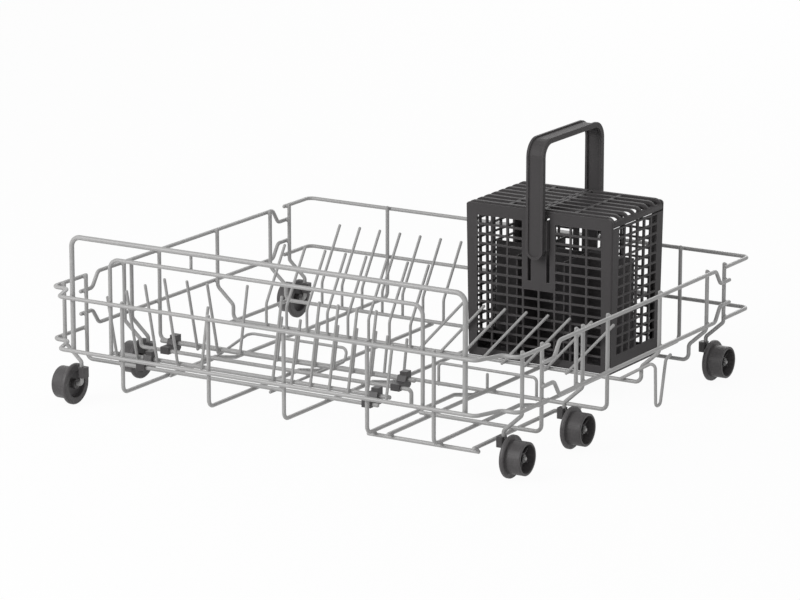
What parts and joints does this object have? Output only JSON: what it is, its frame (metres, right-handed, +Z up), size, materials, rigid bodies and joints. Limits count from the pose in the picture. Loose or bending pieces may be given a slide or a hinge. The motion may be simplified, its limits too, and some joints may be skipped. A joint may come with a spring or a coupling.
{
  "type": "dishwasher lower rack",
  "caption": "Coated wire lower rack of a dishwasher on flanged wheels, with fixed and folding plate tines and a lift-out lidded cutlery basket with a carrying handle.",
  "frame": {"origin": "centre of the rack's outline on the surface that the wheels stand on", "axes": "+X to the right across the width, +Y from the pull handle to the back, +Z up"},
  "size_m": [0.535, 0.5044, 0.2618],
  "materials": {
    "coated_wire": "grey nylon powder coat, satin",
    "basket_plastic": "dark grey moulded polypropylene, fine grain",
    "wheel_plastic": "dark grey moulded acetal",
    "clip_plastic": "dark grey moulded polypropylene",
    "spring_steel": "dark phosphated spring steel"
  },
  "bodies": {
    "rack": {"axle_push_nuts": "spring_steel", "axle_saddles": "clip_plastic", "back_lower_rail": "coated_wire", "back_upper_rail": "coated_wire", "basket_rail": "coated_wire", "centre_cross_hoop": "coated_wire", "centre_runner": "coated_wire", "centre_tines": "coated_wire", "front_left_cross_wire": "coated_wire", "front_left_row_clip": "clip_plastic", "front_lower_rail": "coated_wire", "front_right_cross_wire": "coated_wire", "front_right_row_clip": "clip_plastic", "front_upper_rail": "coated_wire", "hoop_strut": "coated_wire", "inner_hoop": "coated_wire", "last_cross_hoop": "coated_wire", "left_centre_runner": "coated_wire", "left_lower_rail": "coated_wire", "left_runner": "coated_wire", "left_side_runner": "coated_wire", "left_upper_rail": "coated_wire", "left_wheel_arms": "coated_wire", "pull_handle_hoop": "coated_wire", "rear_cross_hoop": "coated_wire", "rear_left_row_clip": "clip_plastic", "rear_right_row_clip": "clip_plastic", "rear_tines": "coated_wire", "right_centre_runner": "coated_wire", "right_lower_rail": "coated_wire", "right_runner": "coated_wire", "right_short_upright": "coated_wire", "right_upper_rail": "coated_wire", "right_wheel_arms": "coated_wire", "row_cross_wire": "coated_wire", "slanted_tines": "coated_wire", "stop_loop": "coated_wire", "sub_floor_bar": "coated_wire", "sub_floor_runners": "coated_wire", "tine_rest": "coated_wire"},
    "front_fold_row": {"front_fold_pivot_wire": "coated_wire", "front_fold_tines": "coated_wire"},
    "rear_fold_row": {"rear_fold_pivot_wire": "coated_wire", "rear_fold_tines": "coated_wire"},
    "basket": {"basket_front_wall": "basket_plastic", "basket_back_wall": "basket_plastic", "basket_side_walls": "basket_plastic", "basket_floor": "basket_plastic", "basket_cross_bar": "basket_plastic", "basket_divider": "basket_plastic", "lid_hinge_rods": "basket_plastic"},
    "carry_handle": {"basket_handle": "basket_plastic"},
    "left_lid": {"left_grille_lid": "basket_plastic"},
    "right_lid": {"right_grille_lid": "basket_plastic"},
    "back_left_wheel": {"back_left_wheel": "wheel_plastic"},
    "back_right_wheel": {"back_right_wheel": "wheel_plastic"},
    "front_left_wheel": {"front_left_wheel": "wheel_plastic"},
    "front_right_wheel": {"front_right_wheel": "wheel_plastic"},
    "middle_left_wheel": {"middle_left_wheel": "wheel_plastic"},
    "middle_right_wheel": {"middle_right_wheel": "wheel_plastic"}
  },
  "joints": [
    {"name": "back_left_wheel_spin", "type": "hinge", "parent": "rack", "child": "back_left_wheel", "pos_m": [-0.2575, 0.20375, 0.02075], "axis": [1, 0, 0], "continuous": true},
    {"name": "back_right_wheel_spin", "type": "hinge", "parent": "rack", "child": "back_right_wheel", "pos_m": [0.2575, 0.20375, 0.02075], "axis": [1, 0, 0], "continuous": true},
    {"name": "front_left_wheel_spin", "type": "hinge", "parent": "rack", "child": "front_left_wheel", "pos_m": [-0.2575, -0.20675, 0.02075], "axis": [1, 0, 0], "continuous": true},
    {"name": "front_right_wheel_spin", "type": "hinge", "parent": "rack", "child": "front_right_wheel", "pos_m": [0.2575, -0.20675, 0.02075], "axis": [1, 0, 0], "continuous": true},
    {"name": "middle_left_wheel_spin", "type": "hinge", "parent": "rack", "child": "middle_left_wheel", "pos_m": [-0.2575, -0.09075, 0.02075], "axis": [1, 0, 0], "continuous": true},
    {"name": "middle_right_wheel_spin", "type": "hinge", "parent": "rack", "child": "middle_right_wheel", "pos_m": [0.2575, -0.09075, 0.02075], "axis": [1, 0, 0], "continuous": true},
    {"name": "front_row_fold", "type": "hinge", "parent": "rack", "child": "front_fold_row", "pos_m": [-0.1, -0.15575, 0.0423], "axis": [-1, 0, 0], "range_deg": [0, 66]},
    {"name": "rear_row_fold", "type": "hinge", "parent": "rack", "child": "rear_fold_row", "pos_m": [-0.1, -0.08975, 0.0423], "axis": [-1, 0, 0], "range_deg": [0, 66]},
    {"name": "basket_lift", "type": "slide", "parent": "rack", "child": "basket", "axis": [0, 0, 1], "range_m": [0, 0.18]},
    {"name": "handle_slide", "type": "slide", "parent": "basket", "child": "carry_handle", "axis": [0, 0, 1], "range_m": [-0.025, 0]},
    {"name": "left_lid_hinge", "type": "hinge", "parent": "basket", "child": "left_lid", "pos_m": [0.043, 0.1184, 0.1814], "axis": [0, -1, 0], "range_deg": [0, 100]},
    {"name": "right_lid_hinge", "type": "hinge", "parent": "basket", "child": "right_lid", "pos_m": [0.2054, 0.1184, 0.1814], "axis": [0, 1, 0], "range_deg": [0, 100]}
  ]
}
